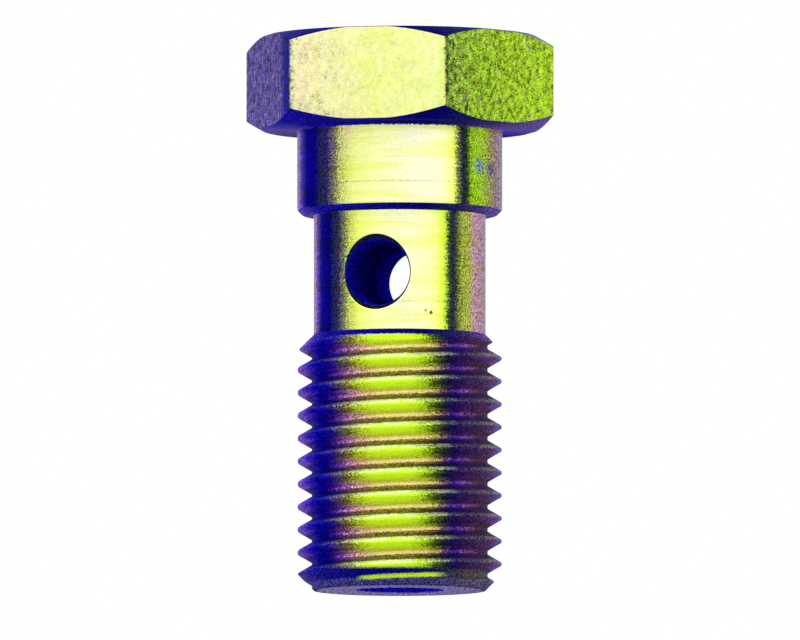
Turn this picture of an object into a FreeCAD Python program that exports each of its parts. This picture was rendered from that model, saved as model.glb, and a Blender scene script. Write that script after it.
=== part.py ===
import FreeCAD, Part
import math
import os

# Banjo bolt that stands on its threaded end, in millimetres and degrees.
# The origin is the middle of the flat end face, +Z runs up the axis to the hexagon
# head, and the cross hole runs along Y. Turned, drilled and threaded from one bar.

# hexagon head
across_flats = 12.7
head_height = 4.29
head_turn = 2.7                # hexagon's turn about the axis against the cross hole
head_chamfer_diameter = 12.75  # circle at which the corner chamfers meet either face
head_chamfer_angle = 30.0

# plain collar under the head
collar_diameter = 9.5
collar_length = 3.96
collar_edge_chamfer = 0.25

# narrow neck with the cross hole
neck_length = 5.55
neck_relief = 0.09             # how far the neck lies inside the thread's root

# right-hand thread, 3/8 inch with 24 turns to the inch
thread_diameter = 9.525
thread_pitch = 25.4 / 24
thread_length = 11.85
thread_angle = 60.0
crest_play = 0.04              # how far the crests lie inside the nominal surface
crest_width = thread_pitch / 8
thread_depth = 0.62 * thread_pitch
groove_level = 0.38            # height of a groove's middle on the side that faces -Y
lead_chamfer_angle = 45.0
end_chamfer_height = 0.75
end_chamfer_angle = 45.0

# passage: a blind bore up the axis, met by a hole right through the neck
bore_diameter = 3.6
bore_past_hole = 0.3           # full bore above the cross hole's upper side
bore_mouth_chamfer = 0.3
drill_point_angle = 118.0
cross_hole_diameter = 3.0
cross_hole_level = 2.65        # middle of the hole above the neck's lower end

# how far a cutting shape stands outside what it cuts
cutter_overrun = 0.5

crest_radius = thread_diameter / 2 - crest_play
root_radius = crest_radius - thread_depth
neck_radius = root_radius - neck_relief
collar_radius = collar_diameter / 2
neck_bottom = thread_length
collar_bottom = neck_bottom + neck_length
head_bottom = collar_bottom + collar_length
head_top = head_bottom + head_height
hole_level = neck_bottom + cross_hole_level

UP = FreeCAD.Vector(0, 0, 1)
AXIS_POINT = FreeCAD.Vector(0, 0, 0)


def at(radius, height):
    """A point of the half section through the axis, on the +X side."""
    return FreeCAD.Vector(radius, 0, height)


def line(start, end):
    return Part.LineSegment(start, end).toShape()


def turned(section):
    """Solid of revolution about the axis of a closed half section."""
    return Part.Face(Part.Wire(section)).revolve(AXIS_POINT, UP, 360)


def polygon_section(points):
    """Closed half section with straight sides."""
    return [line(a, b) for a, b in zip(points, points[1:] + points[:1])]


def head():
    """Hexagon prism whose corners are chamfered above and below."""
    corner_radius = across_flats / 2 / math.cos(math.radians(30))
    corners = []
    for side in range(7):
        turn = math.radians(head_turn + 60 * side)
        corners.append(FreeCAD.Vector(corner_radius * math.cos(turn),
                                      corner_radius * math.sin(turn), head_bottom))
    prism = Part.Face(Part.makePolygon(corners)).extrude(UP * head_height)

    face_radius = head_chamfer_diameter / 2
    reach = corner_radius + cutter_overrun
    drop = (reach - face_radius) * math.tan(math.radians(head_chamfer_angle))
    envelope = turned(polygon_section([
        at(0, head_bottom),
        at(face_radius, head_bottom),
        at(reach, head_bottom + drop),
        at(reach, head_top - drop),
        at(face_radius, head_top),
        at(0, head_top),
    ]))
    return prism.common(envelope)


def shank():
    """Turned blank below the head: thread blank, neck and collar with their chamfers."""
    end_face_radius = crest_radius - end_chamfer_height * math.tan(math.radians(end_chamfer_angle))
    lead_height = (crest_radius - neck_radius) / math.tan(math.radians(lead_chamfer_angle))
    inside_head = head_bottom + head_height / 2

    return turned(polygon_section([
        at(0, 0),
        at(end_face_radius, 0),
        at(crest_radius, end_chamfer_height),
        at(crest_radius, neck_bottom - lead_height),
        at(neck_radius, neck_bottom),
        at(neck_radius, collar_bottom),
        at(collar_radius - collar_edge_chamfer, collar_bottom),
        at(collar_radius, collar_bottom + collar_edge_chamfer),
        at(collar_radius, inside_head),
        at(0, inside_head),
    ]))


def axial_bore():
    """Blind drilling from the end face: eased mouth, straight bore and drill point."""
    radius = bore_diameter / 2
    bore_top = hole_level + cross_hole_diameter / 2 + bore_past_hole
    point_height = radius / math.tan(math.radians(drill_point_angle / 2))
    return turned(polygon_section([
        at(0, -cutter_overrun),
        at(radius + bore_mouth_chamfer + cutter_overrun, -cutter_overrun),
        at(radius, bore_mouth_chamfer),
        at(radius, bore_top),
        at(0, bore_top + point_height),
    ]))


def cross_hole():
    """Hole right through the neck along Y."""
    along = FreeCAD.Vector(0, 1, 0)
    reach = neck_radius + cutter_overrun
    middle = FreeCAD.Vector(0, 0, hole_level)
    return Part.makeCylinder(cross_hole_diameter / 2, 2 * reach, middle - along * reach, along)


def thread_groove():
    """Helical cutter of V section with a flat root, which runs out beyond both ends."""
    flank_slope = math.tan(math.radians(thread_angle / 2))
    crest_half_gap = (thread_pitch - crest_width) / 2
    root_half_width = crest_half_gap - thread_depth * flank_slope
    # the flanks run on past the crest by a quarter of its width, short of the next turn
    outer_half_gap = crest_half_gap + crest_width / 4
    flank_end = crest_radius + crest_width / 4 / flank_slope
    outer_radius = crest_radius + cutter_overrun

    turns_below = 2
    start_level = groove_level - turns_below * thread_pitch
    turns = turns_below + math.ceil((neck_bottom - groove_level) / thread_pitch) + 1
    path = []
    for turn in range(turns):
        one_turn = Part.makeHelix(thread_pitch, thread_pitch, crest_radius)
        one_turn.translate(at(0, start_level + turn * thread_pitch))
        path.extend(one_turn.Edges)

    section = Part.Wire(polygon_section([
        at(root_radius, start_level + root_half_width),
        at(root_radius, start_level - root_half_width),
        at(flank_end, start_level - outer_half_gap),
        at(outer_radius, start_level - outer_half_gap),
        at(outer_radius, start_level + outer_half_gap),
        at(flank_end, start_level + outer_half_gap),
    ]))
    groove = Part.Wire(path).makePipeShell([section], True, True)
    groove.rotate(AXIS_POINT, UP, -90)
    return groove


def banjo_bolt():
    """The whole bolt: head and shank as one, then the passage and the thread cut in."""
    blank = shank().fuse(head())
    drilled = blank.cut(axial_bore()).cut(cross_hole())
    return drilled.cut(thread_groove()).removeSplitter()


os.makedirs("parts", exist_ok=True)
bolt = banjo_bolt()
bolt.exportStep("parts/banjo_bolt.step")
print("banjo_bolt: solids", len(bolt.Solids), "valid", bolt.isValid(),
      "volume in cubic mm", round(bolt.Volume, 1), "height", round(head_top, 2))
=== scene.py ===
import math

import bmesh
import bpy
import numpy as np
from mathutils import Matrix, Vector


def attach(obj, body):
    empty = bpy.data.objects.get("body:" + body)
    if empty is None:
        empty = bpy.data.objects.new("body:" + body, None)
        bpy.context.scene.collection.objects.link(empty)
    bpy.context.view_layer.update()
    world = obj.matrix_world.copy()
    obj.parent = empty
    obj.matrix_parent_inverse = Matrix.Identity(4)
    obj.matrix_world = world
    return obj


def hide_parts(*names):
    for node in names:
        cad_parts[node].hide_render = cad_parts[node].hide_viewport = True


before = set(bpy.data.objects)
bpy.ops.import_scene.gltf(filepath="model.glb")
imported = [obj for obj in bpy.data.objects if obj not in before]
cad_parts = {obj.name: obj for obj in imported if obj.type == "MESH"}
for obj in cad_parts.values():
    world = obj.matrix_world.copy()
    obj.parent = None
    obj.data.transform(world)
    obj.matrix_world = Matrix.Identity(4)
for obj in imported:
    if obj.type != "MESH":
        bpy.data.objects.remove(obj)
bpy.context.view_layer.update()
mm = 0.001

# the bolt's shape in millimetres and degrees; it is scaled to metres when the mesh is made
boltShape = {
    # thread
    "pitch": 25.4 / 24,
    "crestRadius": 4.7225,
    "rootRadius": 4.066,
    "rootHalfWidth": 0.08,       # of a pitch, each side of a groove's middle
    "crestStart": 0.4375,        # of a pitch from a groove's middle to the crest
    "profileEase": 0.03,         # how softly flank meets root and crest, as a share of the flank
    # rows from a groove's middle to the crest's, of a pitch, and the first and last groove
    "profileRows": (0, .04, .074, .09, .14, .21, .28, .35, .405, .43, .445, .5),
    "turns": (-2, 13),
    "grooveLevel": 0.38,         # height of a groove's middle on the side that faces -Y
    "threadTop": 11.85,
    # threaded end
    "endFaceRadius": 3.9725,
    "chamferEase": 0.012,
    "endRings": (3.2, 2.6),      # where the end face's columns are halved
    # neck and collar
    "neckRadius": 3.976,
    "collarBottom": 17.40,
    "collarRadius": 4.75,
    "collarChamfer": 0.25,
    "collarEdgeEase": 0.07,
    "neckFillet": 0.12,
    "seatFillet": 0.16,
    # head
    "headBottom": 21.36,
    "headTop": 25.65,
    "acrossFlats": 12.7,
    "headTurn": 2.7,
    "cornerRounding": 0.13,
    "chamferRadius": 6.375,
    "chamferAngle": 30.0,
    "flatBevel": 0.05,           # narrow bevel where a flat lies inside the chamfer's circle
    "bevelEase": 0.03,
    "faceEase": 0.025,
    "topRing": 0.6,              # of the way out on the top face, where its inner rings begin
    # cross hole; its rim falls at 60 degrees
    "holeRadius": 1.5,
    "holeLevel": 14.5,
    "holeRimSides": 0.1,         # width of the eased edge left and right of the hole
    "holeRimEnds": 0.25,         # and above and below it
    "holeRing": 0.3,             # beyond the rim, to the first round ring of the neck's wall
    "rimEase": (0.045, 0.04),
    # bore
    "boreRadius": 1.8,
    "boreMouth": 0.3,
    "boreMouthEnd": 1.0,
    "mouthEase": (0.06, 0.08),
    "boreTop": 16.3,
    "drillPoint": 1.08,
    # the hole passes through a window on each side: columns each side of its middle, height
    # each side of it, and rows
    "neckWindow": (27, 2.4, 24),
    "boreWindow": (26, 1.75, 26),
    "fineColumns": 240,
    "coarseColumns": 120,
    "curveRows": 6,              # rows in each fillet and rounded edge of the collar and head
    "mergeDistance": 0.001,
    "sharpAngle": 40,            # above it an edge is shaded sharp
}


def softMin(a, b, blend):
    # the lower of a and b, with their corner rounded over about the blend length
    return -blend * np.logaddexp(-a / blend, -b / blend)


def around(radius, angle, height):
    # radius times cosine and sine of the angle, at the height: points on rings about Z
    radius, angle, height = np.broadcast_arrays(radius, angle, height)
    return np.stack((radius * np.cos(angle), radius * np.sin(angle), height), axis=-1)


def softened(rings, reaches, steps):
    # rings stacked as corners x columns x 3; each inner corner becomes a quadratic curve that
    # leaves the corner's two sides at its reach, so an edge is rounded and an inner corner
    # filleted
    rows = [rings[:1]]
    t = np.linspace(0, 1, steps)[:, None, None]
    for k, reach in enumerate(reaches, start=1):
        corner = rings[k][None]
        before, after = rings[k - 1] - rings[k], rings[k + 1] - rings[k]
        a = corner + reach * before / np.linalg.norm(before, axis=1, keepdims=True)
        b = corner + reach * after / np.linalg.norm(after, axis=1, keepdims=True)
        rows.append((1 - t) ** 2 * a + 2 * t * (1 - t) * corner + t ** 2 * b)
    rows.append(rings[-1:])
    return np.concatenate(rows)


def between(rowA, rowB, count):
    # count rows evenly spaced from rowA to rowB, both ends included
    t = np.linspace(0, 1, count)[:, None, None]
    return (1 - t) * rowA + t * rowB


def threadRows(shape, columns):
    # height = groove level + pitch * (angle / turn + phase); radius rises from root to crest over
    # the flank with eased corners, and is cut by the end chamfer below and the lead chamfer above
    half = np.array(shape["profileRows"])
    onePitch = np.concatenate((-half[-2:0:-1], half))
    phase = (np.arange(*shape["turns"])[:, None] + onePitch).ravel()[:, None]
    rise = shape["grooveLevel"] + shape["pitch"] * (columns / (2 * math.pi) + 0.25)
    height = np.clip(rise + shape["pitch"] * phase, 0, shape["threadTop"])
    inPitch = (height - rise) / shape["pitch"]
    off = np.abs(inPitch - np.round(inPitch))
    t = (off - shape["rootHalfWidth"]) / (shape["crestStart"] - shape["rootHalfWidth"])
    ease = shape["profileEase"]
    climb = ease * (np.logaddexp(0, t / ease) - np.logaddexp(0, (t - 1) / ease))
    depth = shape["crestRadius"] - shape["rootRadius"]
    radius = shape["crestRadius"] - depth * (1 - np.clip(climb, 0, 1))
    endChamfer = shape["endFaceRadius"] + height
    leadChamfer = shape["neckRadius"] + shape["threadTop"] - height
    radius = softMin(radius, np.minimum(endChamfer, leadChamfer), shape["chamferEase"])
    return around(radius, columns, height)


def hexOutline(shape):
    # outline's x and y, 40 points a corner: seven round an arc, the rest along the flat
    perCorner, arc = shape["fineColumns"] // 6, 3
    half, rounding = shape["acrossFlats"] / 2, shape["cornerRounding"]
    corner = np.radians(shape["headTurn"] + 60 * np.arange(6))[:, None]
    step = np.arange(-arc, perCorner - arc)[None]
    bend = np.radians(np.clip(step, -arc, arc) * 30 / arc)
    centre = (half - rounding) / math.cos(math.radians(30))
    x = centre * np.cos(corner) + rounding * np.cos(corner + bend)
    y = centre * np.sin(corner) + rounding * np.sin(corner + bend)
    flat = np.clip((step - arc) / (perCorner - 2 * arc), 0, 1)
    nextX, nextY = np.roll(x[:, :1], -1, axis=0), np.roll(y[:, :1], -1, axis=0)
    x, y = x * (1 - flat) + nextX * flat, y * (1 - flat) + nextY * flat
    return np.roll(x.ravel(), -arc), np.roll(y.ravel(), -arc)


def upperRows(shape, columns, firstHeight):
    # turned profile from the neck's top over the step, the collar and its seat, then out and round
    # the hexagon, whose outline is cut above and below by the chamfer cones and, where a flat lies
    # inside them, by a narrow bevel
    x, y = hexOutline(shape)
    reach, turn = np.hypot(x, y), np.arctan2(y, x)
    face = np.minimum(shape["chamferRadius"], reach - shape["flatBevel"])
    drop = (reach - face) * math.tan(math.radians(shape["chamferAngle"]))
    neck, collar, chamfer = shape["neckRadius"], shape["collarRadius"], shape["collarChamfer"]
    step, low, high = shape["collarBottom"], shape["headBottom"], shape["headTop"]
    rings = np.stack((
        around(neck, columns, firstHeight),
        around(neck, columns, step),
        around(collar - chamfer, columns, step),
        around(collar, columns, step + chamfer),
        around(collar, columns, low),
        around(face, turn, low),
        around(reach, turn, low + drop),
        around(reach, turn, high - drop),
        around(face, turn, high),
        around(face * shape["topRing"], turn, high),
    ))
    edge, bevel, rim = shape["collarEdgeEase"], shape["bevelEase"], shape["faceEase"]
    reaches = (shape["neckFillet"], edge, edge, shape["seatFillet"], rim, bevel, bevel, rim)
    return softened(rings, reaches, shape["curveRows"])


def windowLevels(window, middle):
    # heights of a window's rows, evenly spaced about its middle
    columns, height, rows = window
    return np.linspace(middle - height, middle + height, rows + 1)


def besideWindows(window, rows, columns):
    # which cells of rows x columns round the axis stay: all but the two windows, which face
    # +Y and -Y, a quarter and three quarters of the way round
    keep = np.ones((rows, columns), bool)
    for centre in (columns // 4, 3 * columns // 4):
        keep[:, centre - window[0]:centre + window[0]] = False
    return keep


def windowPath(across, up):
    # column and row of each point once round a window of across x up cells, from its lower left
    column = np.concatenate((np.arange(across), np.full(up, across),
                             np.arange(across, 0, -1), np.zeros(up, int)))
    row = np.concatenate((np.zeros(across, int), np.arange(up),
                          np.full(across, up), np.arange(up, 0, -1)))
    return column, row


def windowPlane(radius, cellAngle, heights, window, middle):
    # the window's points on a cylinder, seen square on: sideways and up from the hole's middle
    column, row = windowPath(2 * window[0], len(heights) - 1)
    sideways = radius * np.sin((column - window[0]) * cellAngle)
    return sideways, heights[row] - middle


def onCylinder(radius, sideways, up):
    # points on a cylinder about Z: the distance out is the root of radius squared less sideways
    # squared
    return np.stack((sideways, np.sqrt(radius ** 2 - sideways ** 2), up), axis=-1)


def toCircle(window, angle, circleRadius, radius, shares):
    # rings on a cylinder that go from a window's outline to a circle by the shares
    circle = np.array((circleRadius * np.cos(angle), circleRadius * np.sin(angle)))
    return np.stack([onCylinder(radius, *((1 - s) * np.array(window) + s * circle))
                     for s in shares])


def holeRows(shape, neckWindow, boreWindow):
    # rings from the neck's window in to the hole's edge, down its eased rim and along its wall to
    # the bore, then out over the bore's wall to the bore's window
    neck, bore, hole = shape["neckRadius"], shape["boreRadius"], shape["holeRadius"]
    ends = np.unwrap(np.arctan2(neckWindow[1], neckWindow[0]))
    inner = np.unwrap(np.arctan2(boreWindow[1], boreWindow[0]))
    sides, more = shape["holeRimSides"], shape["holeRimEnds"] - shape["holeRimSides"]
    rim = hole + sides + more * np.sin(ends) ** 2

    outer = toCircle(neckWindow, ends, rim + shape["holeRing"], neck, np.linspace(0, 1, 7))
    edge = onCylinder(neck, rim * np.cos(ends), rim * np.sin(ends))
    footDepth = edge[:, 1] - (rim - hole) * math.sqrt(3)
    foot = np.stack((hole * np.cos(ends), footDepth, hole * np.sin(ends)), axis=-1)
    share = np.linspace(0, 1, 9)[:, None]
    direction = ends * (1 - share) + inner * share
    meets = np.sqrt(bore ** 2 - (hole * np.cos(direction)) ** 2)
    wallDepth = footDepth * (1 - share) + meets * share
    wall = np.stack((hole * np.cos(direction), wallDepth, hole * np.sin(direction)), axis=-1)
    rimRows = softened(np.stack((outer[-1], edge, foot, wall[2])), shape["rimEase"], 5)
    inside = toCircle(boreWindow, inner, hole, bore, np.linspace(1, 0, 6))
    return outer, rimRows[:5], rimRows[4:], wall[2:], inside


def gridFaces(start, rows, columns, keep=None):
    # quads between neighbouring rows and columns of a grid whose first point is number start
    index = start + np.arange(rows * columns).reshape(rows, columns)
    quads = np.stack((index[:-1, :-1], index[:-1, 1:], index[1:, 1:], index[1:, :-1]), axis=-1)
    return quads[keep] if keep is not None else quads.reshape(-1, 4)


def ringAngles(columns):
    # the angles of a closed ring's columns, first and last the same place
    return np.radians(np.arange(columns + 1) * 360 / columns)


def buildBolt(shape):
    # grids of points round the axis for thread, end face, bore, neck, collar and head, and the
    # hole's rings, joined to one closed mesh
    points, faces, slots = [], [], []

    def add(grid, slot, keep=None):
        # each grid of points joins the mesh here, with its material's number
        start = sum(len(p) for p in points)
        quads = gridFaces(start, *grid.shape[:2], keep)
        points.append(grid.reshape(-1, 3))
        faces.append(quads)
        slots.append(np.full(len(quads), slot))

    thread, neck, collar, flats, drilled = range(5)
    fineCount, coarseCount = shape["fineColumns"], shape["coarseColumns"]
    fine, coarse = ringAngles(fineCount), ringAngles(coarseCount)
    bore, mouth, top = shape["boreRadius"], shape["boreMouth"], shape["boreTop"]
    mouthEnd, middle = shape["boreMouthEnd"], shape["holeLevel"]

    add(threadRows(shape, fine), thread)

    # end face: fine rings, a bridge of triangles to coarse ones, then the bore's mouth
    wide, narrow = shape["endRings"]
    wideRing, narrowRing = around(wide, fine, 0), around(narrow, coarse, 0)
    add(between(around(shape["endFaceRadius"], fine, 0), wideRing, 3), thread)
    start = sum(len(p) for p in points)
    points.extend((wideRing, narrowRing))
    k = np.arange(coarseCount)
    outer, inner = start + 2 * k, start + fineCount + 1 + k
    bridge = np.stack((inner, outer, outer + 1, inner, outer + 1, inner + 1,
                       inner + 1, outer + 1, outer + 2), axis=-1).reshape(-1, 3)
    mouthRows = softened(np.stack((
        narrowRing, around(bore + mouth, coarse, 0),
        around(bore, coarse, mouth), around(bore, coarse, mouthEnd),
    )), shape["mouthEase"], 5)
    add(mouthRows[:6], thread)
    add(mouthRows[5:], drilled)

    # bore, with a window on each side for the hole, and its drill point
    levels = windowLevels(shape["boreWindow"], middle)
    walls = besideWindows(shape["boreWindow"], len(levels) - 1, coarseCount)
    add(between(around(bore, coarse, mouthEnd), around(bore, coarse, levels[0]), 24), drilled)
    add(around(bore, coarse, levels[:, None]), drilled, walls)
    add(around(bore, coarse, np.array([levels[-1], top])[:, None]), drilled)
    point = around(0, coarse, top + shape["drillPoint"])
    add(between(around(bore, coarse, top), point, 5), drilled)
    boreWindow = windowPlane(bore, math.radians(360 / coarseCount), levels,
                             shape["boreWindow"], middle)

    # neck, with its windows above one whole row, then the collar and the head
    levels = windowLevels(shape["neckWindow"], middle)
    walls = besideWindows(shape["neckWindow"], len(levels), fineCount)
    walls[0] = True
    neckLevels = np.append(shape["threadTop"], levels)
    add(around(shape["neckRadius"], fine, neckLevels[:, None]), neck, walls)
    neckWindow = windowPlane(shape["neckRadius"], math.radians(360 / fineCount), levels,
                             shape["neckWindow"], middle)
    upper = upperRows(shape, fine[:-1], levels[-1])
    upper = np.concatenate((upper, upper[:, :1]), axis=1)
    stepRow = shape["curveRows"]             # last row of the neck's fillet
    seatRow = 4 * shape["curveRows"] - 1     # last row but one of the seat's
    add(upper[:stepRow + 1], neck)
    add(upper[stepRow:seatRow + 1], collar)
    add(upper[seatRow:], flats)
    add(between(upper[-1], around(0, fine, shape["headTop"]), 3), flats)

    # the hole's rim and wall, once on each side
    for side in (-1, 1):
        for rings, slot in zip(holeRows(shape, neckWindow, boreWindow),
                               (neck, neck, drilled, drilled, drilled)):
            ring = np.concatenate((rings, rings[:, :1]), axis=1)
            places = (-side * ring[..., 0], side * ring[..., 1], ring[..., 2] + middle)
            add(np.stack(places, axis=-1), slot)

    mesh = bpy.data.meshes.new("boltBody")
    places = np.concatenate(points) * mm
    mesh.from_pydata(places.tolist(), [], np.concatenate(faces).tolist() + bridge.tolist())
    slots.append(np.full(len(bridge), thread))
    mesh.polygons.foreach_set("material_index", np.concatenate(slots).astype(np.int32))

    # seams, poles and the rows clipped at the thread's two ends close by merging equal points
    work = bmesh.new()
    work.from_mesh(mesh)
    bmesh.ops.remove_doubles(work, verts=work.verts, dist=shape["mergeDistance"] * mm)
    bmesh.ops.recalc_face_normals(work, faces=work.faces)
    work.to_mesh(mesh)
    work.free()
    mesh.shade_smooth()
    mesh.set_sharp_from_angle(angle=math.radians(shape["sharpAngle"]))
    print("bolt: vertices", len(mesh.vertices), "faces", len(mesh.polygons))
    return mesh


# plating colours with painted highlight and shade, as they look on screen, by the place round the
# axis: degrees from the middle of the painted highlight band, then red, green and blue up to 255; a
# list covers half a turn and repeats
platingAndLightBands = {
    "collar": (
        (-90, 190, 170, 225), (-79, 165, 135, 230), (-72, 75, 45, 190), (-66, 8, 4, 145),
        (-55, 8, 5, 130), (-51, 34, 38, 80), (-45, 45, 38, 105), (-40, 110, 105, 100),
        (-35, 200, 204, 120), (-27, 238, 244, 150), (-10, 250, 254, 185), (10, 255, 255, 218),
        (25, 252, 253, 190), (31.5, 235, 248, 120), (34.5, 110, 120, 72), (37.5, 25, 28, 62),
        (41, 42, 58, 34), (44.5, 145, 190, 40), (52, 158, 200, 50), (60, 158, 160, 82),
        (68, 160, 135, 142), (90, 190, 170, 225),
    ),
    "neck": (
        (-90, 195, 175, 225), (-78, 180, 150, 230), (-72, 100, 72, 185), (-66, 16, 9, 150),
        (-54, 5, 6, 108), (-50, 32, 34, 90), (-45, 50, 46, 84), (-40, 118, 122, 92),
        (-35, 200, 212, 104), (-28, 238, 252, 125), (-12, 250, 254, 185), (6, 252, 254, 205),
        (20, 246, 254, 172), (30, 212, 242, 75), (32, 182, 212, 62), (34.5, 62, 76, 46),
        (38, 30, 36, 68), (41, 64, 74, 50), (46, 150, 166, 66), (53, 172, 176, 78),
        (60, 192, 150, 170), (70, 190, 152, 172), (90, 195, 175, 225),
    ),
    "flats": (
        (-90, 104, 88, 168), (-57, 100, 84, 162), (-52, 66, 54, 162), (-50.5, 14, 14, 150),
        (-44.4, 10, 10, 130), (-43.5, 186, 192, 146), (-42, 230, 220, 176), (-30, 232, 228, 172),
        (-12, 232, 236, 152), (8, 234, 240, 160), (14, 236, 244, 166), (16.3, 226, 240, 130),
        (17, 70, 82, 44), (19, 130, 160, 60), (30, 142, 178, 48), (55, 150, 186, 42),
        (72, 160, 200, 44), (76, 158, 196, 48), (77.5, 104, 88, 168), (90, 104, 88, 168),
    ),
    "shade": (
        (-90, 90, 74, 165), (-72, 60, 48, 165), (-56, 22, 16, 146), (-20, 12, 10, 122),
        (15, 6, 6, 94), (32, 28, 26, 84), (48, 54, 42, 104), (72, 88, 70, 138), (90, 90, 74, 165),
    ),
    # painted shade of the threaded end
    "lastTurn": (
        (-90, 95, 84, 140), (-72, 64, 52, 154), (-56, 30, 24, 146), (-20, 14, 12, 126),
        (12, 18, 16, 112), (30, 44, 40, 90), (44, 82, 76, 78), (66, 98, 90, 88), (90, 95, 84, 140),
    ),
    # the thread's parts, each with the highlight and shade painted on it round the axis
    "rootLine": (
        (-90, 80, 64, 120), (-66, 12, 8, 146), (-55, 8, 5, 120), (-47, 74, 34, 152),
        (-40, 148, 92, 172), (-33, 194, 138, 172), (-24, 236, 192, 166), (-12, 252, 236, 150),
        (6, 250, 236, 154), (17, 240, 222, 138), (22, 220, 200, 124), (29, 130, 96, 104),
        (36, 66, 32, 148), (48, 124, 78, 146), (62, 78, 56, 74), (90, 80, 64, 120),
    ),
    "rootFoot": (
        (-90, 95, 70, 130), (-66, 16, 10, 172), (-55, 8, 5, 136), (-46, 64, 24, 144),
        (-38, 132, 82, 144), (-30, 206, 166, 146), (-22, 220, 206, 94), (-12, 216, 228, 62),
        (8, 214, 228, 62), (16, 206, 220, 58), (21, 156, 172, 40), (28, 84, 74, 50),
        (36, 46, 18, 108), (50, 82, 44, 104), (62, 84, 60, 68), (90, 95, 70, 130),
    ),
    "lowerFlank": (
        (-90, 130, 100, 190), (-76, 118, 80, 194), (-66, 58, 36, 180), (-56, 6, 4, 148),
        (-44, 18, 12, 138), (-38, 74, 54, 90), (-31, 110, 104, 48), (-24, 184, 202, 42),
        (-16, 208, 252, 42), (6, 210, 252, 42), (13, 182, 226, 32), (20, 82, 102, 24),
        (26, 34, 38, 40), (32, 24, 16, 84), (46, 60, 36, 82), (62, 80, 54, 98),
        (90, 130, 100, 190),
    ),
    "crest": (
        (-90, 120, 105, 150), (-66, 74, 62, 168), (-54, 27, 26, 136), (-44, 58, 56, 126),
        (-37, 112, 112, 122), (-30, 166, 170, 130), (-22, 208, 220, 156), (-10, 230, 244, 174),
        (4, 226, 242, 170), (13, 182, 196, 112), (20, 172, 182, 126), (28, 120, 124, 118),
        (36, 56, 54, 80), (50, 74, 70, 82), (64, 114, 108, 108), (78, 112, 108, 112),
        (90, 120, 105, 150),
    ),
    "upperFlank": (
        (-90, 120, 95, 160), (-64, 30, 22, 150), (-54, 10, 8, 112), (-45, 20, 12, 108),
        (-38, 48, 34, 76), (-30, 88, 76, 62), (-22, 112, 102, 52), (-8, 108, 110, 30),
        (6, 106, 106, 28), (14, 82, 82, 24), (21, 50, 48, 25), (28, 26, 24, 54), (38, 30, 16, 96),
        (50, 60, 38, 84), (64, 66, 50, 82), (78, 82, 74, 88), (90, 120, 95, 160),
    ),
    "grooveSide": (
        (-90, 100, 75, 140), (-64, 12, 8, 138), (-54, 6, 5, 108), (-46, 46, 20, 150),
        (-38, 110, 66, 132), (-30, 142, 96, 118), (-22, 146, 114, 98), (-8, 152, 124, 74),
        (10, 158, 132, 78), (20, 132, 104, 70), (28, 72, 50, 82), (36, 46, 18, 138),
        (50, 86, 50, 120), (64, 70, 46, 92), (90, 100, 75, 140),
    ),
}

paintedHighlightBearing = -73.7            # which way the painted highlight band faces, in degrees from +X towards +Y


def fromScreen(red, green, blue):
    # a screen colour as the linear one that a shader takes
    value = np.array((red, green, blue)) / 255
    linear = np.where(value <= 0.04045, value / 12.92, ((value + 0.055) / 1.055) ** 2.4)
    return (*linear.tolist(), 1.0)


def connect(tree, value, socket):
    # link another node's output to a socket, or set a plain value there
    if isinstance(value, bpy.types.NodeSocket):
        tree.links.new(value, socket)
    else:
        socket.default_value = value


def node(tree, kind, inputs=(), **settings):
    # a new node; inputs maps a socket's name or number to a value or to another node's output
    made = tree.nodes.new(kind)
    for name, value in settings.items():
        setattr(made, name, value)
    for name, value in dict(inputs).items():
        connect(tree, value, made.inputs[name])
    return made


def math2(tree, operation, a, b=0.0, c=0.0):
    # a Math node's result
    return node(tree, "ShaderNodeMath", {0: a, 1: b, 2: c}, operation=operation).outputs[0]


def product(tree, first, *others):
    # masks multiplied together
    for other in others:
        first = math2(tree, "MULTIPLY", first, other)
    return first


def vectorMath(tree, operation, a, b):
    # a Vector Math node's result; a distance is a number
    made = node(tree, "ShaderNodeVectorMath", {0: a, 1: b}, operation=operation)
    return made.outputs["Value" if operation == "DISTANCE" else "Vector"]


def separated(tree, place):
    # a place's X, Y and Z
    return node(tree, "ShaderNodeSeparateXYZ", {0: place}).outputs


def remap(tree, value, low, high, newLow=0.0, newHigh=1.0):
    # value moved from low..high to newLow..newHigh, and held inside it
    return node(tree, "ShaderNodeMapRange", {"Value": value, "From Min": low, "From Max": high,
                                             "To Min": newLow, "To Max": newHigh}).outputs["Result"]


def blendColour(tree, factor, a, b, mode="MIX"):
    # colour a where the factor is 0 and b, or the mode's mix of both, where it is 1
    made = node(tree, "ShaderNodeMix", {"Factor": factor}, data_type="RGBA", blend_type=mode)
    for name, value in (("A", a), ("B", b)):
        connect(tree, value, [s for s in made.inputs if s.name == name and s.type == "RGBA"][0])
    return [s for s in made.outputs if s.type == "RGBA"][0]


def tinted(tree, colour, tint):
    # colour times tint
    return blendColour(tree, 1.0, colour, tint, "MULTIPLY")


def toned(tree, colour, amount, low, high):
    # colour multiplied by a grey from low to high as amount goes from 0 to 1
    shade = remap(tree, amount, 0, 1, low, high)
    return tinted(tree, colour, node(tree, "ShaderNodeCombineColor",
                                     {0: shade, 1: shade, 2: shade}).outputs[0])


def bandRamp(tree, across, name):
    # plating colour with painted highlight and shade by bearing, from the list's degrees; across
    # runs from 0 to 1 over half a turn
    bands = platingAndLightBands[name]
    made = node(tree, "ShaderNodeValToRGB", {"Fac": across})
    elements = made.color_ramp.elements
    while len(elements) < len(bands):
        elements.new(0.5)
    for element, (degrees, *colour) in zip(elements, bands):
        element.position = (degrees + 90) / 180
        element.color = fromScreen(*colour)
    return made.outputs["Color"]


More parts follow.
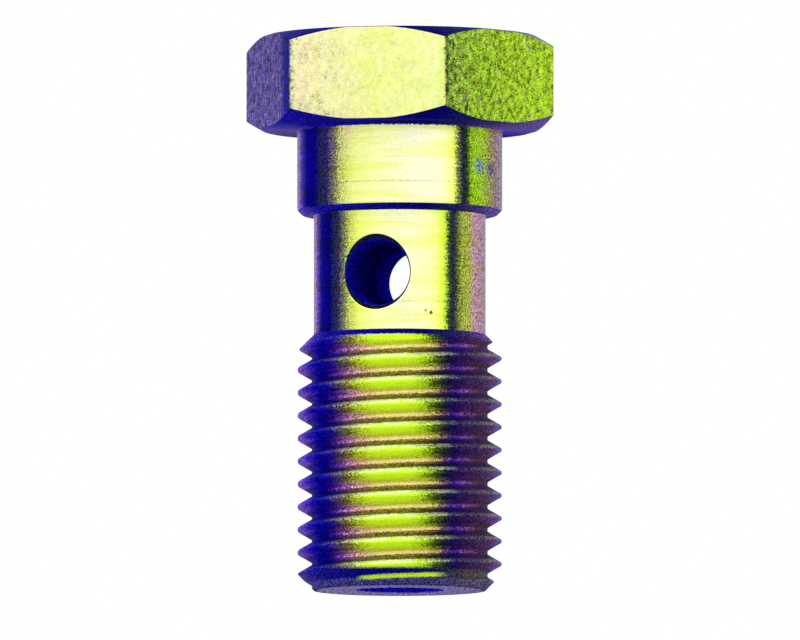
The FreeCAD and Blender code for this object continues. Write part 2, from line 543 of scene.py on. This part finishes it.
def newGroup(name, inputs, outputs):
    # a shader group; an input whose value is a tuple, and an output called Colour, are colours
    group = bpy.data.node_groups.new(name, "ShaderNodeTree")
    for label, value in inputs.items():
        kind = "NodeSocketColor" if isinstance(value, tuple) else "NodeSocketFloat"
        group.interface.new_socket(label, in_out="INPUT", socket_type=kind).default_value = value
    for label in outputs:
        kind = "NodeSocketColor" if label == "Colour" else "NodeSocketFloat"
        group.interface.new_socket(label, in_out="OUTPUT", socket_type=kind)
    given = group.nodes.new("NodeGroupInput").outputs
    return group, given, group.nodes.new("NodeGroupOutput").inputs


def objectPlace(tree):
    # place in millimetres, in the bolt's own frame
    place = node(tree, "ShaderNodeTexCoord").outputs["Object"]
    return vectorMath(tree, "MULTIPLY", place, (1 / mm, 1 / mm, 1 / mm))


def noiseAt(tree, place, scale, detail=1.0):
    # noise stretched to the whole range from 0 to 1
    noise = node(tree, "ShaderNodeTexNoise", {"Vector": place, "Scale": scale, "Detail": detail})
    return remap(tree, noise.outputs["Fac"], 0.28, 0.72)


def ragged(tree, value, grain, width):
    # value moved by up to half the width either way, as grain goes from 0 to 1
    return math2(tree, "MULTIPLY_ADD", math2(tree, "SUBTRACT", grain, 0.5), width, value)


def bearingGroup():
    # across: where a point lies round the axis within its half turn, 0 to 1; wander makes a band's
    # edges ragged by so many degrees, from rows that run round the axis and from fine grain
    inputs = {"Row Wander": 2.0, "Grain Wander": 4.0, "Grain": 11.0}
    group, given, out = newGroup("platingBearing", inputs, ("Across",))
    place = objectPlace(group)
    parts = separated(group, place)
    bearing = math2(group, "ARCTAN2", parts["Y"], parts["X"])
    rows = noiseAt(group, vectorMath(group, "MULTIPLY", place, (0.25, 0.25, 9)), 1.0)
    shift = math2(group, "MULTIPLY", math2(group, "SUBTRACT", rows, 0.5), given["Row Wander"])
    shift = ragged(group, shift, noiseAt(group, place, given["Grain"]), given["Grain Wander"])
    turn = math2(group, "MULTIPLY_ADD", bearing, 1 / math.pi, 0.5 - paintedHighlightBearing / 180)
    across = math2(group, "FRACT", math2(group, "MULTIPLY_ADD", shift, 1 / 90, turn))
    group.links.new(across, out["Across"])
    return group


def turningGroup():
    # fine lines left by the turning tool, rows of noise stretched round the axis, and wider bands
    # of the same
    group, given, out = newGroup("turningLines", {"Fineness": 9.0}, ("Lines", "Bands"))
    flat = vectorMath(group, "MULTIPLY", objectPlace(group), (0.1, 0.1, 1))
    group.links.new(noiseAt(group, flat, given["Fineness"], 3.0), out["Lines"])
    wider = math2(group, "MULTIPLY", given["Fineness"], 0.25)
    group.links.new(noiseAt(group, flat, wider), out["Bands"])
    return group


def grainGroup():
    # speckle: fine grain, a second one apart from it, and wider blotches, each from 0 to 1
    inputs = {"Grain": 11.0, "Blotch": 1.6}
    group, given, out = newGroup("platingGrain", inputs, ("Grain", "Speck", "Blotch"))
    place = objectPlace(group)
    moved = vectorMath(group, "ADD", place, (31, 17, 5))
    group.links.new(noiseAt(group, place, given["Grain"]), out["Grain"])
    group.links.new(noiseAt(group, moved, given["Grain"]), out["Speck"])
    group.links.new(noiseAt(group, moved, given["Blotch"], 2.0), out["Blotch"])
    return group


def speckleGroup():
    # colour times (1 + shade * amount * noise + hue * amount * noise of each channel's own), held
    # above a least factor; amount falls from dark colours to pale ones, and tall stretches the
    # grain upwards
    inputs = {"Colour": (0.5, 0.5, 0.5, 1.0), "Dark Amount": 0.5, "Pale Amount": 0.05,
              "Grain": 14.0, "Tall": 1.0, "Hue": 3.5, "Shade": 9.0}
    group, given, out = newGroup("platingSpeckle", inputs, ("Colour",))
    upright = math2(group, "DIVIDE", 1.0, given["Tall"])
    squeeze = node(group, "ShaderNodeCombineXYZ", {0: 1.0, 1: 1.0, 2: upright}).outputs[0]
    place = vectorMath(group, "MULTIPLY", objectPlace(group), squeeze)
    moved = vectorMath(group, "ADD", place, (13, 29, 7))
    own, shared = (node(group, "ShaderNodeTexNoise",
                        {"Vector": vector, "Scale": given["Grain"], "Detail": 1.0}).outputs
                   for vector in (place, moved))
    light = node(group, "ShaderNodeRGBToBW", {0: given["Colour"]}).outputs[0]
    change = math2(group, "SUBTRACT", given["Pale Amount"], given["Dark Amount"])
    amount = math2(group, "MULTIPLY_ADD", change, remap(group, light, 0.25, 0.75),
                   given["Dark Amount"])
    centred = vectorMath(group, "SUBTRACT", own["Color"], (0.5, 0.5, 0.5))
    swing = node(group, "ShaderNodeVectorMath",
                 {0: centred, "Scale": math2(group, "MULTIPLY", amount, given["Hue"])},
                 operation="SCALE").outputs[0]
    level = ragged(group, 1.0, shared["Fac"], math2(group, "MULTIPLY", amount, given["Shade"]))
    factor = vectorMath(group, "MAXIMUM", vectorMath(group, "ADD", swing, level), (0.1, 0.1, 0.1))
    group.links.new(tinted(group, given["Colour"], factor), out["Colour"])
    return group


def facingGroup():
    # how much a point looks down, and up, from 0 to 1 as its normal's rise goes between limits
    group, given, out = newGroup("facing", {"From": 0.2, "To": 0.5}, ("Down", "Up"))
    normal = node(group, "ShaderNodeTexCoord").outputs["Normal"]
    rise = separated(group, normal)["Z"]
    fall = math2(group, "MULTIPLY", rise, -1.0)
    group.links.new(remap(group, rise, given["From"], given["To"]), out["Up"])
    group.links.new(remap(group, fall, given["From"], given["To"]), out["Down"])
    return group


groups = {"bearing": bearingGroup(), "turning": turningGroup(), "grain": grainGroup(),
          "speckle": speckleGroup(), "facing": facingGroup()}


def placed(tree, name, values):
    # the outputs of a shared group's node; values are numbers or other nodes' outputs
    return node(tree, "ShaderNodeGroup", values, node_tree=groups[name]).outputs


def looks(tree, way, limits):
    # how much a point looks "Down" or "Up", between two limits of its normal's rise
    return placed(tree, "facing", {"From": limits[0], "To": limits[1]})[way]


def speckled(tree, colour, dark, pale, grain=14.0, tall=1.0, hue=3.5):
    # colour with speckle, of one amount where it is dark and another where it is pale
    values = {"Colour": colour, "Dark Amount": dark, "Pale Amount": pale,
              "Grain": grain, "Tall": tall, "Hue": hue}
    return placed(tree, "speckle", values)["Colour"]


def heightIs(tree, low, high, soft):
    # 1 between two heights in millimetres, falling to 0 over soft outside them, with a ragged edge
    z = separated(tree, objectPlace(tree))["Z"]
    z = ragged(tree, z, placed(tree, "grain", {"Grain": 12.0})["Grain"], 0.06)
    above = remap(tree, z, low - soft, low)
    return product(tree, above, remap(tree, z, high, high + soft, 1.0, 0.0))


def spot(tree, bearing, radius, height, size):
    # 1 within about size millimetres of a place on the turned surface, with a ragged edge
    turn = math.radians(paintedHighlightBearing + bearing)
    centre = (radius * math.cos(turn), radius * math.sin(turn), height)
    away = vectorMath(tree, "DISTANCE", objectPlace(tree), centre)
    away = ragged(tree, away, placed(tree, "grain", {"Grain": 6.0})["Grain"], size)
    return remap(tree, away, size * 0.3, size * 1.1, 1.0, 0.0)


def newMaterial(name):
    # a material with a plain Principled shader on its output
    made = bpy.data.materials.new(name)
    made.use_nodes = True
    tree = made.node_tree
    tree.nodes.clear()
    shader = node(tree, "ShaderNodeBsdfPrincipled")
    node(tree, "ShaderNodeOutputMaterial", {"Surface": shader.outputs[0]})
    return made, tree, shader


def finish(tree, shader, look, colour, height):
    # colour and gloss by the look, a roughness that drifts, and a bump of the look's depth in mm;
    # metal that looks down is matt
    tree.links.new(colour, shader.inputs["Base Color"])
    drift = placed(tree, "grain", {"Blotch": 1.4})["Blotch"]
    roughness = remap(tree, drift, 0, 1, look["roughness"] - 0.04, look["roughness"] + 0.04)
    tree.links.new(roughness, shader.inputs["Roughness"])
    bump = node(tree, "ShaderNodeBump",
                {"Strength": 1.0, "Distance": look["bump"] * mm, "Height": height})
    tree.links.new(bump.outputs[0], shader.inputs["Normal"])
    metallic = look["metallic"]
    if metallic > 0:
        metallic = remap(tree, looks(tree, "Down", (0.45, 0.6)), 0, 1, metallic, metallic * 0.1)
    connect(tree, metallic, shader.inputs["Metallic"])
    shader.inputs["Specular IOR Level"].default_value = look["specular"]
    shader.inputs["Specular Tint"].default_value = look["edgeTint"]


def shadeBands(tree, across, name):
    # the painted shade of undersides and corners, in dark plating colours
    return speckled(tree, bandRamp(tree, across, name), 0.8, 0.3)


# neck and collar: satin turned metal
turnedLook = {
    "wander": {"Row Wander": 1.0, "Grain Wander": 0.9},
    "fineness": 9.0,
    "lineTones": (0.92, 1.03),   # how dark and how bright turning lines make the plating
    "limeTint": (0.94, 0.97, 0.62, 1.0), "limeLevels": (0.4, 0.8),
    "scoredTint": (0.42, 0.42, 0.16, 1.0), "scoredWidth": 0.02, "scoredSoft": 0.03,
    # underside: rises of the normal over which the painted shade of undersides comes in; darkSoft:
    # how softly the painted corner shade fades, in mm
    "underside": (0.5, 0.66), "darkSoft": 0.05,
    "darkSpeckle": 0.6, "paleSpeckle": 0.035,
    "roughness": 0.35, "metallic": 1.0, "specular": 0.0, "edgeTint": (0.5, 0.5, 0.55, 1.0),
    "bump": 0.003,
}
# their marks: the heights of the painted shade in the corner above, each scored line's height and
# strength, and each spot's bearing, height, size, screen colour and strength
neckMarks = {
    "bands": "neck", "radius": boltShape["neckRadius"],
    "paintedCornerShade": (17.4, 17.45),
    "scored": ((13.1, 0.3),),
    "spots": ((21.5, 12.62, 0.10, (70, 84, 30), 1.0), (17.5, 12.7, 0.07, (120, 140, 50), 1.0)),
}
collarMarks = {
    "bands": "collar", "radius": boltShape["collarRadius"],
    "paintedCornerShade": (21.25, 21.5),
    "scored": ((18.62, 0.5), (19.75, 0.2)),
    "spots": ((51, 19.45, 0.42, (112, 130, 155), 0.95), (62, 19.3, 0.42, (92, 84, 145), 0.95),
              (56, 18.3, 0.2, (112, 132, 150), 0.7), (-30, 21.0, 0.5, (232, 196, 170), 0.5)),
}


def turnedMaterial(name, look, marks):
    # bands of painted highlight and shade by bearing, with turning lines, lime rows, scored lines
    # and spots; undersides and the corner above carry painted shade
    made, tree, shader = newMaterial(name)
    across = placed(tree, "bearing", look["wander"])["Across"]
    turning = placed(tree, "turning", {"Fineness": look["fineness"]})
    colour = toned(tree, bandRamp(tree, across, marks["bands"]), turning["Lines"],
                   *look["lineTones"])
    lime = remap(tree, turning["Bands"], *look["limeLevels"])
    colour = blendColour(tree, lime, colour, tinted(tree, colour, look["limeTint"]))
    for level, strength in marks["scored"]:
        line = heightIs(tree, level, level + look["scoredWidth"], look["scoredSoft"])
        colour = blendColour(tree, product(tree, line, strength), colour,
                             tinted(tree, colour, look["scoredTint"]))
    for bearing, height, size, tint, strength in marks["spots"]:
        mask = spot(tree, bearing, marks["radius"], height, size)
        colour = blendColour(tree, product(tree, mask, strength), colour, fromScreen(*tint))
    colour = speckled(tree, colour, look["darkSpeckle"], look["paleSpeckle"])
    shade = shadeBands(tree, across, "shade")
    colour = blendColour(tree, looks(tree, "Down", look["underside"]), colour, shade)
    corner = heightIs(tree, *marks["paintedCornerShade"], look["darkSoft"])
    colour = blendColour(tree, corner, colour, shade)
    finish(tree, shader, look, colour, turning["Lines"])
    return made


# thread and end face: diffuse plating with painted highlight and shade in bands that climb with the
# groove
threadLook = {
    "wander": {"Row Wander": 2.0, "Grain Wander": 2.6},
    "grain": 11.0, "phaseWander": 0.05,
    # each band's name, and where in a pitch above the groove's middle it begins and is reached; the
    # bands paint highlight and shade on root, flanks and crest
    "bandsUp": (("rootFoot", 0.05, 0.11), ("lowerFlank", 0.18, 0.26), ("crest", 0.50, 0.56),
                ("upperFlank", 0.655, 0.70), ("grooveSide", 0.82, 0.88), ("rootLine", 0.92, 0.96)),
    "crestBreaks": 0.65,         # how far the crest's painted highlight line gives way where it is broken
    "breakBlotch": 1.5, "breakLevels": (0.62, 0.74),
    "darkSpeckle": 0.7, "paleSpeckle": 0.1,
    # painted shade where the thread meets the neck: its heights and softness in millimetres
    "topShadeZone": (11.62, 11.83, 0.06),
    # below the end zone's height the plating is painted dark as shade, but for a painted highlight
    # streak along the groove's root between two places across
    "endShadeZone": (-1.0, 0.74, 0.1),
    "streak": (205, 240, 60), "streakRoot": (0.07, 0.12), "streakFoot": (0.1, 0.2),
    "streakAcross": ((0.34, 0.38), (0.63, 0.68)),
    "footTint": (110, 102, 160), "footShare": 0.4, "footLevels": (0.3, 0.42),
    "endFace": (104, 96, 142), "endFaceLooks": (0.9, 0.97),
    "roughness": 0.45, "metallic": 0.2, "specular": 0.0, "edgeTint": (0.35, 0.35, 0.4, 1.0),
    "bump": 0.003,
}


def lastTurnColour(tree, across, height, phase, look):
    # the threaded end: painted shade, lighter towards the bottom, a lime painted highlight streak
    # and the speckled end face
    starts, ends = look["streakAcross"]
    offRoot = math2(tree, "PINGPONG", phase, 0.5)
    streak = product(tree, remap(tree, offRoot, *look["streakRoot"], 1.0, 0.0),
                     remap(tree, across, *starts), remap(tree, across, *ends, 1.0, 0.0),
                     remap(tree, height, *look["streakFoot"]))
    dark = shadeBands(tree, across, "lastTurn")
    pale = speckled(tree, fromScreen(*look["footTint"]), 0.8, 0.3)
    foot = blendColour(tree, look["footShare"], dark, pale)
    colour = blendColour(tree, remap(tree, height, *look["footLevels"]), foot, dark)
    lime = speckled(tree, fromScreen(*look["streak"]), 0.2, 0.1)
    colour = blendColour(tree, streak, colour, lime)
    face = speckled(tree, fromScreen(*look["endFace"]), 0.9, 0.5, 7.0)
    return blendColour(tree, looks(tree, "Down", look["endFaceLooks"]), colour, face)


def threadMaterial(name, look):
    # phase is the height in a pitch above the groove's middle: the fraction of (height - groove
    # level) / pitch - angle / turn - a quarter
    made, tree, shader = newMaterial(name)
    across = placed(tree, "bearing", look["wander"])["Across"]
    grain = placed(tree, "grain", {"Grain": look["grain"]})["Grain"]
    place = separated(tree, objectPlace(tree))
    angle = math2(tree, "ARCTAN2", place["Y"], place["X"])
    turn = math2(tree, "MULTIPLY", angle, 1 / (2 * math.pi))
    pitch, start = boltShape["pitch"], boltShape["grooveLevel"]
    level = math2(tree, "MULTIPLY_ADD", place["Z"], 1 / pitch, -0.25 - start / pitch)
    phase = math2(tree, "FRACT", math2(tree, "SUBTRACT", level, turn))
    phase = ragged(tree, phase, grain, look["phaseWander"])

    colour = bandRamp(tree, across, "rootLine")
    blotch = placed(tree, "grain", {"Blotch": look["breakBlotch"]})["Blotch"]
    whole = remap(tree, blotch, *look["breakLevels"], 1.0, 1.0 - look["crestBreaks"])
    for part, begins, reached in look["bandsUp"]:
        share = remap(tree, phase, begins, reached)
        if part == "crest":
            share = product(tree, share, whole)
        colour = blendColour(tree, share, colour, bandRamp(tree, across, part))
    colour = speckled(tree, colour, look["darkSpeckle"], look["paleSpeckle"])
    shade = shadeBands(tree, across, "shade")
    colour = blendColour(tree, heightIs(tree, *look["topShadeZone"]), colour, shade)
    lastTurn = lastTurnColour(tree, across, place["Z"], phase, look)
    colour = blendColour(tree, heightIs(tree, *look["endShadeZone"]), colour, lastTurn)
    finish(tree, shader, look, colour, grain)
    return made


# hexagon: flats painted pale where lit and dark where shaded, with coarse speckle, chamfers with
# painted shade, and a plain top
flatLook = {
    "wander": {"Row Wander": 0.0, "Grain Wander": 0.3},
    "grain": {"Grain": 2.6, "Blotch": 1.1},
    "blotchTones": (0.92, 1.05),
    "paleLevels": (0.5, 0.8),    # brightness at which a flat begins to count as pale, and does
    "limeTint": (0.93, 0.99, 0.72, 1.0), "limeLevels": (0.35, 0.9),
    "greyTint": (120, 110, 125), "greyShare": 0.6, "greySpecks": (0.78, 1.0), "greyOnPale": 0.04,
    # coarse and fine speckle: amounts on dark and on pale, grain, tallness and hue
    "speckles": ((0.38, 0.04, 4.5, 1.3, 1.2), (0.5, 0.045, 9.5, 0.6, 2.2)),
    # chamfer: rises of the normal over which the chamfers' painted shade comes in; then the top
    # face's colour and where it takes over
    "chamfer": (0.2, 0.5), "topFace": (214, 212, 140), "topLooks": (0.93, 0.98),
    "roughness": 0.4, "metallic": 1.0, "specular": 0.0, "edgeTint": (0.5, 0.5, 0.55, 1.0),
    "bump": 0.005,
}


def flatMaterial(name, look):
    # bands of painted highlight and shade by bearing, with blotches, lime patches, grey specks and
    # speckle; chamfers carry painted shade
    made, tree, shader = newMaterial(name)
    across = placed(tree, "bearing", look["wander"])["Across"]
    grain = placed(tree, "grain", look["grain"])
    colour = toned(tree, bandRamp(tree, across, "flats"), grain["Blotch"], *look["blotchTones"])
    light = node(tree, "ShaderNodeRGBToBW", {0: colour}).outputs[0]
    lime = product(tree, remap(tree, grain["Grain"], *look["limeLevels"]),
                   remap(tree, light, *look["paleLevels"]))
    colour = blendColour(tree, lime, colour, tinted(tree, colour, look["limeTint"]))
    greyed = blendColour(tree, look["greyShare"], colour, fromScreen(*look["greyTint"]))
    specks = product(tree, remap(tree, grain["Speck"], *look["greySpecks"]),
                     remap(tree, light, *look["paleLevels"], 1.0, look["greyOnPale"]))
    colour = blendColour(tree, specks, colour, greyed)
    for values in look["speckles"]:
        colour = speckled(tree, colour, *values)
    shade = shadeBands(tree, across, "shade")
    for way in ("Down", "Up"):
        colour = blendColour(tree, looks(tree, way, look["chamfer"]), colour, shade)
    top = speckled(tree, fromScreen(*look["topFace"]), 0.2, 0.1)
    colour = blendColour(tree, looks(tree, "Up", look["topLooks"]), colour, top)
    finish(tree, shader, look, colour, grain["Grain"])
    return made


# inside of the bore and of the cross hole: painted shade in dark blue, with a nearly black painted
# shade line on the hole's rim
drilledLook = {
    "grain": {"Grain": 6.0, "Blotch": 1.2},
    # painted shade: the dark blues of the walls and the nearly black line on the hole's rim
    "low": (9, 6, 120), "high": (18, 11, 170), "rim": (24, 28, 40),
    "rimReach": (1.51, 1.6), "rimWander": 0.1,   # millimetres from the hole's axis
    "rimAside": (2.6, 3.0),      # and from the bolt's middle, so that the bore has no rim
    "speckle": (0.8, 0.1, 9.0),
    "roughness": 0.6, "metallic": 0.0, "specular": 0.0, "edgeTint": (0.1, 0.08, 0.4, 1.0),
    "bump": 0.008,
}


def drilledMaterial(name, look):
    # blotchy dark blue painted shade, and the rim's darker painted shade where a point is far
    # enough from the hole's axis
    made, tree, shader = newMaterial(name)
    grain = placed(tree, "grain", look["grain"])
    colour = blendColour(tree, grain["Blotch"], fromScreen(*look["low"]), fromScreen(*look["high"]))
    place = objectPlace(tree)
    aside = math2(tree, "ABSOLUTE", separated(tree, place)["Y"])
    onAxis = vectorMath(tree, "MULTIPLY", place, (1, 0, 1))
    away = vectorMath(tree, "DISTANCE", onAxis, (0, 0, boltShape["holeLevel"]))
    away = ragged(tree, away, grain["Speck"], look["rimWander"])
    rim = product(tree, remap(tree, away, *look["rimReach"]), remap(tree, aside, *look["rimAside"]))
    colour = blendColour(tree, rim, colour, fromScreen(*look["rim"]))
    finish(tree, shader, look, speckled(tree, colour, *look["speckle"]), grain["Grain"])
    return made


boltMesh = buildBolt(boltShape)
# in the order of the mesh's material numbers
for made in (threadMaterial("threadPlatingAndLight", threadLook),
             turnedMaterial("neckPlatingAndLight", turnedLook, neckMarks),
             turnedMaterial("collarPlatingAndLight", turnedLook, collarMarks),
             flatMaterial("hexagonPlatingAndLight", flatLook),
             drilledMaterial("drilledPaintedShade", drilledLook)):
    boltMesh.materials.append(made)
print("plating: materials", len(boltMesh.materials), "shared groups", len(groups))

bolt = bpy.data.objects.new("hollowBolt", boltMesh)
bpy.context.scene.collection.objects.link(bolt)
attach(bolt, "root")
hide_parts("banjo_bolt")

# camera, from the photograph: bearing, height, scale and where the bolt's end stands in it
photoView = {
    "azimuth": 16.3,
    "elevation": -4.4,
    "pixelsPerMm": 21.63,
    "endPixel": (399.7, 590.5),
    "frame": (800, 640),
    "distance": 1000.0,
    "sensorWidth": 36,
    "clip": (0.01, 10),
}


def addCamera(view):
    # the camera looks along the bearing, and is moved sideways and up until the bolt's end, at
    # the origin, falls on its pixel
    turn, rise = math.radians(view["azimuth"]), math.radians(view["elevation"])
    level = math.cos(rise)
    back = Vector((math.sin(turn) * level, -math.cos(turn) * level, math.sin(rise)))
    right = Vector((math.cos(turn), math.sin(turn), 0))
    up = back.cross(right)
    width, height = view["frame"]
    toRight = (width / 2 - view["endPixel"][0]) / view["pixelsPerMm"]
    toTop = (view["endPixel"][1] - height / 2) / view["pixelsPerMm"]
    data = bpy.data.cameras.new("photoCamera")
    data.sensor_width = view["sensorWidth"]
    data.lens = view["sensorWidth"] * view["distance"] * view["pixelsPerMm"] / width
    data.clip_start, data.clip_end = view["clip"]
    camera = bpy.data.objects.new("photoCamera", data)
    bpy.context.scene.collection.objects.link(camera)
    camera.location = (right * toRight + up * toTop + back * view["distance"]) * mm
    camera.rotation_mode = "QUATERNION"
    camera.rotation_quaternion = (-back).to_track_quat("-Z", "Y")
    bpy.context.scene.camera = camera


# stage: a pale floor, open under the bolt and clear from below, a white world and soft lamps
stageSizes = {
    "floorRings": (3.85, 20, 100, 600),      # millimetres; the first lies inside the end face
    "floorDrop": 0.01,
    "floorTint": (0.8, 0.8, 0.8, 1.0),
    "floorRoughness": 0.9,
    "worldLight": 1.1,
    "lampAim": (0, 0, 0.012),
    # each lamp's name, place and size in metres, and watts
    "lamps": (
        ("keyLamp", (-0.20, -0.45, 0.40), 0.30, 0.8),
        ("fillLamp", (0.45, -0.20, 0.25), 0.35, 0.4),
        ("backLamp", (0.05, 0.50, 0.35), 0.35, 0.4),
    ),
}


def addFloor(sizes):
    # flat rings from the opening out to the floor's edge, seen from above only
    angle = ringAngles(96)
    rings = np.stack([around(r, angle, -sizes["floorDrop"]) for r in sizes["floorRings"]])
    quads = gridFaces(0, *rings.shape[:2])[:, ::-1]
    mesh = bpy.data.meshes.new("floor")
    mesh.from_pydata((rings.reshape(-1, 3) * mm).tolist(), [], quads.tolist())
    floor = bpy.data.objects.new("floor", mesh)
    bpy.context.scene.collection.objects.link(floor)
    made, tree, shader = newMaterial("paleFloor")
    shader.inputs["Base Color"].default_value = sizes["floorTint"]
    shader.inputs["Roughness"].default_value = sizes["floorRoughness"]
    clear = node(tree, "ShaderNodeBsdfTransparent").outputs[0]
    below = node(tree, "ShaderNodeNewGeometry").outputs["Backfacing"]
    mixed = node(tree, "ShaderNodeMixShader", {0: below, 1: shader.outputs[0], 2: clear})
    tree.links.new(mixed.outputs[0], tree.nodes["Material Output"].inputs["Surface"])
    mesh.materials.append(made)


def addWorld(strength):
    # white at strength 1 where the camera, gloss or glass sees it, and the given strength as light
    world = bpy.data.worlds.new("paleWorld")
    world.use_nodes = True
    tree = world.node_tree
    tree.nodes.clear()
    path = node(tree, "ShaderNodeLightPath").outputs
    seen = math2(tree, "MAXIMUM", path["Is Camera Ray"], path["Is Glossy Ray"])
    seen = math2(tree, "MAXIMUM", seen, path["Is Transmission Ray"])
    level = remap(tree, seen, 0, 1, strength, 1.0)
    light = node(tree, "ShaderNodeBackground", {"Color": (1, 1, 1, 1), "Strength": level})
    node(tree, "ShaderNodeOutputWorld", {"Surface": light.outputs[0]})
    bpy.context.scene.world = world


def addLamps(lamps, aim):
    # round soft lamps that look at the middle of the bolt
    for name, place, size, watts in lamps:
        data = bpy.data.lights.new(name, "AREA")
        data.shape, data.size, data.energy = "DISK", size, watts
        lamp = bpy.data.objects.new(name, data)
        bpy.context.scene.collection.objects.link(lamp)
        lamp.location = place
        lamp.rotation_mode = "QUATERNION"
        lamp.rotation_quaternion = (Vector(aim) - Vector(place)).to_track_quat("-Z", "Y")


addCamera(photoView)
addFloor(stageSizes)
addWorld(stageSizes["worldLight"])
addLamps(stageSizes["lamps"], stageSizes["lampAim"])
bpy.context.scene.view_settings.view_transform = "Standard"
print("stage: camera, floor, world and", len(stageSizes["lamps"]), "lamps")
